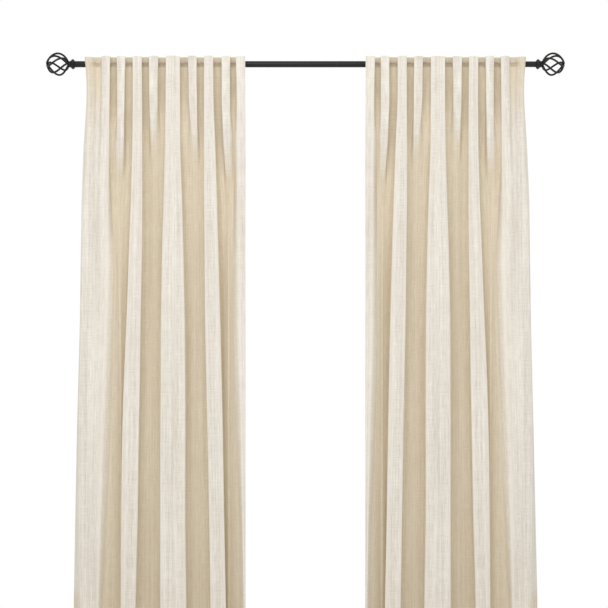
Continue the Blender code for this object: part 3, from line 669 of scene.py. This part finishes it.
def rounded_line(x, y, recess, radius, edge, arc=5, run=3):
    """The line through the corners, each corner replaced by a curve that starts and ends on its sides.

    The curve is (1-t)^2 a + 2t(1-t) c + t^2 b, with c the corner, and a and b the points a rounding
    away from it, or not quite half a side away where the side is short. The side between two edges of a
    face swells to the front, by 4u(1-u) of a share of its width. Returns x, y, recess and edge, which
    rises to its value in the middle of a face's corner.
    """
    line = np.stack([x, y, recess, np.zeros_like(x)], -1)
    step = np.diff(line[..., :2], axis=1)
    length = np.maximum(np.linalg.norm(step, axis=-1), 1e-6)
    cut = np.minimum(radius[:, 1:-1], 0.46 * np.minimum(length[:, :-1], length[:, 1:]))
    here = line[:, 1:-1]
    before = here + (line[:, :-2] - here) * (cut / length[:, :-1])[..., None]
    after = here + (line[:, 2:] - here) * (cut / length[:, 1:])[..., None]
    t = np.linspace(0, 1, arc)[:, None]
    arcs = ((1 - t) ** 2 * before[:, :, None] + 2 * t * (1 - t) * here[:, :, None]
            + t ** 2 * after[:, :, None])
    arcs[..., 3] = edge[:, 1:-1, None] * np.sin(np.pi * np.clip(t[:, 0], 0.08, 0.92))
    leaving = np.concatenate([line[:, :1], after], 1)
    reaching = np.concatenate([before, line[:, -1:]], 1)
    u = np.linspace(0, 1, run + 2)[1:-1, None]
    runs = leaving[:, :, None] + (reaching - leaving)[:, :, None] * u
    swell = FACE_SWELL * np.diff(x, axis=1) * np.sqrt(edge[:, :-1] * edge[:, 1:])
    runs[..., 1] -= swell[..., None] * (4 * u * (1 - u))[:, 0]
    pieces = [line[:, :1], runs[:, 0]]
    for k in range(arcs.shape[1]):
        pieces += [arcs[:, k], runs[:, k + 1]]
    pieces.append(line[:, -1:])
    return np.concatenate(pieces, 1)


def panel_sheet(side, outward):
    """The cloth's middle surface, as a grid of points, with where each point is on the flat cloth."""
    low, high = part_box(f"{side}_panel")
    drop = high.z - low.z
    first_tab = middle_of(f"{side}_tab_1").x
    last_tab = middle_of(f"{side}_tab_9").x
    hung = abs(last_tab - first_tab) / (LAST_TAB_SHARE - FIRST_TAB_SHARE)
    edge_x = first_tab + outward * FIRST_TAB_SHARE * hung
    stitch_row = 1 - BOTTOM_HEM / drop
    shares = np.unique(np.concatenate([
        np.linspace(0, 0.035, 15), TUCK_DOWN / drop + np.linspace(-0.0016, 0.0016, 9),
        np.linspace(0.035, 0.26, 40), np.linspace(0.26, stitch_row - 0.002, 60),
        stitch_row + np.linspace(-0.002, 0.0025, 10), np.linspace(stitch_row + 0.0025, 1, 12)]))
    line = rounded_line(*panel_corners(shares, drop, hung))
    x, y, recess, edge = np.moveaxis(line, -1, 0)
    run = np.hypot(np.diff(x, axis=1), np.diff(y, axis=1)).mean(0)
    across = np.concatenate([[0], np.cumsum(run)])
    down = np.broadcast_to((shares * drop)[:, None], x.shape)
    across = np.broadcast_to(across, x.shape)
    near_top = np.exp(-down / 0.05)
    frontness = np.clip((-y - HEAD_FLOOR) / (HEAD_FRONT - HEAD_FLOOR), 0, 1)
    z = high.z - down - FRONT_DROOP * frontness * near_top - 0.0012 * near_top * (
        0.5 + 0.5 * np.sin(across * 41 + outward))
    points = np.stack([edge_x - outward * x, ROD_AXIS.y + y, z], -1)
    return points, across, down, recess, edge, drop


def cloth_normals(points):
    """The direction square to the sheet at each of its points, towards the front."""
    normal = np.cross(np.gradient(points, axis=0), np.gradient(points, axis=1))
    normal /= np.maximum(np.linalg.norm(normal, axis=-1, keepdims=True), 1e-12)
    return normal


def creased(points, across, down, recess, drop, side_seed):
    """Small unevenness of the hand-hung cloth: long soft ripples as sums of sines, pleats that fan from
    the heading, the tuck that stands out of each recess where the tabs' stitches draw the cloth to the
    rod, and the groove of the hem's stitches."""
    ripple = (np.sin(across * 23 + down * 1.7 + side_seed) + np.sin(across * 57 - down * 3.1 + 2 * side_seed)
              + 0.6 * np.sin(across * 96 + down * 5.3 + 3.1 * side_seed))
    fan = np.sin(across * 330 + side_seed) * np.exp(-down / 0.05)
    tuck = np.exp(-((down - TUCK_DOWN) / 0.0014) ** 2) * smooth_step((recess - 0.5) / 0.4)
    groove = np.exp(-((drop - down - HEM_STITCHES) / 0.0014) ** 2)
    lift = (0.00055 * ripple * smooth_step(down / 0.10) + 0.00035 * fan + TUCK_HEIGHT * tuck
            - STITCH_GROOVE * groove)
    return points + cloth_normals(points) * lift[..., None]


def cloth_thickness(across, down, drop):
    """Half the thickness: the plain cloth, three layers in the hems, and a thinner rolled edge."""
    width = across.max()
    edge = np.minimum(across, width - across)
    in_hem = np.maximum.reduce([1 - smooth_step((edge - SIDE_HEM + 0.001) / 0.002),
                                smooth_step((down - (drop - BOTTOM_HEM)) / 0.002),
                                1 - smooth_step((down - HEADING_HEM) / 0.002)])
    half = (CLOTH_THICKNESS + (HEM_THICKNESS - CLOTH_THICKNESS) * in_hem) / 2
    rolled = np.minimum(edge, np.minimum(down, drop - down)) < 0.0004
    return np.where(rolled, half * 0.45, half)


def heading_shade_and_stitches(across, down):
    """Painted shade where the thin cloth of a recess lies on the black rod: the rod's painted shadow through
    the cloth, 1 at the rod's height, with painted shade of the heading above it, and the broken line of the
    tabs' stitches in their own colour. The cloth is puckered along the stitches, so the band's edges wander."""
    wander = 0.0009 * np.sin(across * 310) + 0.0006 * np.sin(across * 770 + 1)
    band = np.exp(-np.abs((down - 0.0268 - wander) / 0.0080) ** 4)
    above = 0.40 * (1 - smooth_step((down - 0.018) / 0.004))
    along_stitches = 0.50 * np.exp(-((down - TUCK_DOWN - wander) / 0.0014) ** 2)
    stitched = along_stitches * (0.6 + 0.4 * np.sin(across * 1250))
    return band + above + stitched


def curtain_panel(side, outward, material):
    """The cloth's two faces, half its thickness out from the middle surface, joined round the rim."""
    points, across, down, recess, edge, drop = panel_sheet(side, outward)
    points = creased(points, across, down, recess, drop, 1.0 + outward)
    normals = cloth_normals(points)
    front_side = 1 if normals[..., 1].mean() < 0 else -1
    normals = normals * front_side
    half = cloth_thickness(across, down, drop)[..., None]
    rows, columns = across.shape
    front = points + normals * half
    back = points - normals * half
    count = rows * columns
    quads = grid_faces(rows, columns)
    if front_side < 0:
        quads = quads[:, ::-1]
    back_quads = quads[:, ::-1] + count
    index = np.arange(count).reshape(rows, columns)
    border = np.concatenate([index[0, :-1], index[:-1, -1], index[-1, :0:-1], index[:0:-1, 0]])
    after = np.roll(border, -1)
    rim = np.stack([border, after, after + count, border + count], -1)
    if front_side > 0:
        rim = rim[:, ::-1]
    faces = np.concatenate([quads, back_quads, rim])
    piece = shown_mesh(f"{side}_curtain", np.concatenate([front.reshape(-1, 3), back.reshape(-1, 3)]),
                       faces.tolist(), material, smooth_below=60)
    mesh = piece.data
    loops = np.zeros(len(mesh.loops), int)
    mesh.loops.foreach_get("vertex_index", loops)
    flat = np.stack([across.ravel(), drop - down.ravel()], -1)
    flat = np.concatenate([flat, flat])
    uv = mesh.uv_layers.new(name="cloth")
    uv.data.foreach_set("uv", flat[loops].astype(np.float32).ravel())
    # Painted shade: the front's recesses, and on the back the places behind the front's faces, which are its
    # recesses from behind.
    shade_front = recess.ravel()
    shade_back = np.clip(1 - recess.ravel(), 0, 1) * 0.6
    # The painted shadow of the rod in the recesses is weaker on the flap.
    beside_rod = 0.30 + 0.70 * smooth_step((across - 0.05) / 0.02)
    band = (heading_shade_and_stitches(across, down) * smooth_step((recess - 0.45) / 0.5) * beside_rod).ravel()
    # The edges of the folds' faces carry a painted highlight.
    thread = edge.ravel()
    for name, values in (("recess", np.concatenate([shade_front, shade_back])),
                         ("painted_rod_shade_and_stitches", np.concatenate([band, band])),
                         ("painted_rim_highlight", np.concatenate([thread, thread]))):
        attribute = mesh.attributes.new(name, "FLOAT", "POINT")
        attribute.data.foreach_set("value", values.astype(np.float32))
    face_out(piece)
    return piece


def linen(name, painted_shade_colours, stitched):
    """Plain-woven linen look: crossing threads with slubs, a soft nap, and stitched hems, with painted shade
    in the recesses, at the rod and towards the hem, and a painted highlight on the edges of the folds' faces.

    The coordinates are metres across and up the flat cloth. The threads are the product of two sines,
    and the slubs are noise drawn out forty times along each thread.
    """
    material, shader, place = new_finish(name, Roughness=0.88, Sheen_Weight=0.12, Sheen_Roughness=0.5,
                                         Specular_IOR_Level=0.15)
    flat = place.node("ShaderNodeUVMap", {"uv_map": "cloth"})
    parts = place.node("ShaderNodeSeparateXYZ", {}, {"Vector": flat})
    across = parts
    up = Finish(place.tree, parts.socket.node.outputs["Y"])
    threads = (across * 3500.0).wave() * (up * 3500.0).wave()
    weft = flat.scaled((24.0, 330.0, 1.0)).noise(1.0, 3.0)
    warp = flat.scaled((330.0, 18.0, 1.0)).noise(1.0, 3.0)
    slub = weft.ramp(0.56, 0.74) + warp.ramp(0.56, 0.74)
    stitch_line = 1 - (up - HEM_STITCHES).size().ramp(0.0003, 0.0009)
    stitch = stitch_line * (across * STITCH_WAVES).wave().ramp(-0.5, 0.1)
    painted_shade_near_hem = 1 - up.ramp(0.05, 0.80)
    streak = flat.scaled((120.0, 1.6, 1.0)).noise(1.0, 3.0)
    cloud = flat.scaled((9.0, 5.0, 1.0)).noise(1.0, 3.0)
    recess = place.node("ShaderNodeAttribute", {"attribute_name": "recess"}, output="Fac")
    painted_rod_shade_and_stitches = place.node("ShaderNodeAttribute", {"attribute_name": "painted_rod_shade_and_stitches"}, output="Fac")
    painted_rim_highlight = place.node("ShaderNodeAttribute", {"attribute_name": "painted_rim_highlight"}, output="Fac")
    shade = 0.5 + 0.9 * (weft - 0.5) + 1.3 * (warp - 0.5) + 1.5 * (streak - 0.5) + 0.4 * (cloud - 0.5)
    face = shade.mix((0.665, 0.615, 0.535, 1), (0.905, 0.872, 0.810, 1))
    # Painted shade: a darker, warmer colour laid in the recesses between the folds.
    painted_sunk_shade = shade.mix(*painted_shade_colours)
    colour = recess.ramp(0.10, 0.95).mix(face, painted_sunk_shade)
    # Painted highlight: a lighter cream along the edges of the folds' faces.
    colour = (painted_rim_highlight * 0.55).mix(colour, (0.93, 0.885, 0.80, 1))
    colour = (slub * 0.12).mix(colour, (0.95, 0.92, 0.85, 1))
    # Painted shade: darker and warmer towards the hem, and more so in the recesses.
    colour = (painted_shade_near_hem * (0.06 + 0.10 * recess)).mix(colour, (0.52, 0.42, 0.27, 1))
    if stitched:
        colour = (stitch * 0.45).mix(colour, (0.56, 0.50, 0.41, 1))
    # Painted shadow of the black rod in the recesses at the heading, with painted shade of the heading above
    # it, and the tabs' stitches in their own colour.
    blotch = 0.24 + 0.52 * flat.scaled((190.0, 330.0, 1.0)).noise(1.0, 2.0)
    colour = (painted_rod_shade_and_stitches * blotch).mix(colour, (0.24, 0.19, 0.13, 1))
    height = 0.5 * threads + 0.8 * slub + 0.5 * weft + 0.5 * warp + (1.5 * stitch if stitched else 0.0)
    wire_up(shader, place, Base_Color=colour, Normal=height.bump(0.55, 0.00022))
    return material


# The colours of the painted shade in the recesses, darker and lighter.
PAINTED_RECESS_SHADE = ((0.690, 0.605, 0.465, 1), (0.840, 0.765, 0.625, 1))
cloth = linen("linen-look cloth", PAINTED_RECESS_SHADE, stitched=True)
for side, outward in SIDES.items():
    panel = curtain_panel(side, outward, cloth)
    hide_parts(f"{side}_panel")
    rod_body = "outer_rod" if outward < 0 else "inner_rod"
    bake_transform(panel)


# ---- back tabs -------------------------------------------------------------------------------------
# Nine strips of the same cloth for each panel, folded double and sewn to the back of its heading above
# and below the rod, which runs through them.
TAB_WIDTH = 0.018
TAB_THICKNESS = 0.0012
TAB_SLACK = 0.0012
TAB_HEIGHT = 0.020
TAB_SEWN_LENGTH = 0.006
TAB_WRAP = 112
TABS = 9


def tab_line(front):
    """The strip's line seen from its side: sewn end, loop round the rod's back, sewn end."""
    middle = ROD_RADIUS + TAB_SLACK + TAB_THICKNESS / 2
    drop = TAB_SLACK - 0.0003
    sewn = TAB_HEIGHT - TAB_SEWN_LENGTH
    angles = np.radians(np.linspace(TAB_WRAP, -TAB_WRAP, 33))
    loop = np.stack([middle * np.cos(angles), middle * np.sin(angles) - drop], -1)
    top = np.stack([np.full(4, front), np.linspace(TAB_HEIGHT, sewn, 4)], -1)
    bottom = np.stack([np.full(4, front), np.linspace(-sewn, -TAB_HEIGHT, 4)], -1)
    return np.concatenate([top, loop, bottom])


def back_tab(side, number, body, material):
    """A strip whose thickness swells between its two stitched edges, and is thinned at them."""
    node = f"{side}_tab_{number}"
    low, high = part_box(node)
    line = tab_line(low.y - ROD_AXIS.y + TAB_THICKNESS / 2)
    tangent = np.gradient(line, axis=0)
    tangent /= np.linalg.norm(tangent, axis=1, keepdims=True)
    normal = np.stack([-tangent[:, 1], tangent[:, 0]], -1)
    across = np.linspace(-1, 1, 13)
    stitches = np.exp(-((np.abs(across) - 0.80) / 0.05) ** 2)
    half = TAB_THICKNESS / 2 * (1 - 0.75 * np.abs(across) ** 8 - 0.22 * stitches)
    across = np.concatenate([across, across[::-1]])
    half = np.concatenate([half, -half[::-1]])
    middle_x = (low.x + high.x) / 2
    x = np.broadcast_to(middle_x + across * TAB_WIDTH / 2, (len(line), len(across)))
    yz = line[:, None] + normal[:, None] * half[None, :, None]
    points = np.concatenate([x[..., None], yz[..., :1] + ROD_AXIS.y, yz[..., 1:] + ROD_AXIS.z], -1)
    columns = len(across)
    faces = grid_faces(len(line), columns, ring=True).tolist()
    last = (len(line) - 1) * columns
    for k in range(12):
        faces.append([k, k + 1, columns - 2 - k, columns - 1 - k])
        faces.append([last + columns - 1 - k, last + columns - 2 - k, last + k + 1, last + k])
    piece = shown_mesh(f"{side}_back_tab_{number}", points, faces, material, smooth_below=60)
    mesh = piece.data
    length = np.concatenate([[0], np.cumsum(np.linalg.norm(np.diff(line, axis=0), axis=1))])
    flat = np.stack(np.broadcast_arrays(across * TAB_WIDTH / 2, length[:, None]), -1).reshape(-1, 2)
    loops = np.zeros(len(mesh.loops), int)
    mesh.loops.foreach_get("vertex_index", loops)
    uv = mesh.uv_layers.new(name="cloth")
    uv.data.foreach_set("uv", flat[loops].astype(np.float32).ravel())
    face_out(piece)
    return finished(piece, body, "tab_cloth", node)


tab_cloth = linen("tab cloth", PAINTED_RECESS_SHADE, stitched=False)
for side, outward in SIDES.items():
    rod_body = "outer_rod" if outward < 0 else "inner_rod"
    for number in range(1, TABS + 1):
        body = {1: rod_body, TABS: f"{side}_leading_tab"}.get(number, f"{side}_tab_{number}")
        back_tab(side, number, body, tab_cloth)


# ---- floor, light and camera -----------------------------------------------------------------------
# A pale floor just under the hems, a white studio all round, and one broad lamp in front and above.
# The camera stands level in front of the pair, below the rod, and sees all but the lowest cloth.
def studio():
    """The camera sees pure white, and the light that falls on the object is a little warmer."""
    world = bpy.data.worlds.new("white studio")
    bpy.context.scene.world = world
    world.use_nodes = True
    tree = world.node_tree
    tree.nodes.clear()
    output = tree.nodes.new("ShaderNodeOutputWorld")
    seen = tree.nodes.new("ShaderNodeBackground")
    seen.inputs["Color"].default_value = (1, 1, 1, 1)
    dome = tree.nodes.new("ShaderNodeBackground")
    dome.inputs["Color"].default_value = (1.0, 0.985, 0.965, 1)
    dome.inputs["Strength"].default_value = 0.80
    rays = tree.nodes.new("ShaderNodeLightPath")
    either = tree.nodes.new("ShaderNodeMixShader")
    tree.links.new(rays.outputs["Is Camera Ray"], either.inputs["Fac"])
    tree.links.new(dome.outputs[0], either.inputs[1])
    tree.links.new(seen.outputs[0], either.inputs[2])
    tree.links.new(either.outputs[0], output.inputs["Surface"])


def soft_lamp(name, place, target, size, power, colour):
    """A square lamp that faces a target."""
    light = bpy.data.lights.new(name, "AREA")
    light.shape = "SQUARE"
    light.size = size
    light.energy = power
    light.color = colour
    lamp = bpy.data.objects.new(name, light)
    lamp.location = place
    lamp.rotation_mode = "QUATERNION"
    lamp.rotation_quaternion = (lamp.location - target).to_track_quat("Z", "Y")
    bpy.context.scene.collection.objects.link(lamp)


HEM_CLEARANCE = 0.026
low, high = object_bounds()
middle = (low + high) / 2
studio()
soft_lamp("front lamp", (middle.x - 0.3, middle.y - 3.6, high.z + 1.2), middle, 2.6, 52, (1.0, 0.985, 0.96))
floor_material, floor_shader, floor_place = new_finish("pale floor", Roughness=0.7)
speckle = floor_place.noise(30.0, 3.0)
wire_up(floor_shader, floor_place, Base_Color=speckle.mix((0.78, 0.775, 0.765, 1), (0.82, 0.815, 0.805, 1)))
across, back, thick = np.meshgrid((middle.x - 1.9, middle.x + 1.9), (middle.y - 1.5, middle.y + 0.60),
                                  (low.z - HEM_CLEARANCE - 0.02, low.z - HEM_CLEARANCE), indexing="ij")
floor = shown_mesh("floor", np.stack([across, back, thick], -1),
                   [(0, 1, 3, 2), (4, 6, 7, 5), (0, 4, 5, 1), (2, 3, 7, 6), (0, 2, 6, 4), (1, 5, 7, 3)],
                   floor_material)
face_out(floor)

CAMERA_DISTANCE = 4.10
CAMERA_BELOW_ROD = 0.851
CAMERA_LENS = 68.4
camera_data = bpy.data.cameras.new("camera")
camera_data.lens = CAMERA_LENS
camera = bpy.data.objects.new("camera", camera_data)
camera.location = ((low.x + high.x) / 2 - 0.005, ROD_AXIS.y - CAMERA_DISTANCE, ROD_AXIS.z - CAMERA_BELOW_ROD)
camera.rotation_euler = (math.pi / 2, 0, 0)
bpy.context.scene.collection.objects.link(camera)
bpy.context.scene.camera = camera
bpy.context.scene.view_settings.view_transform = "Standard"
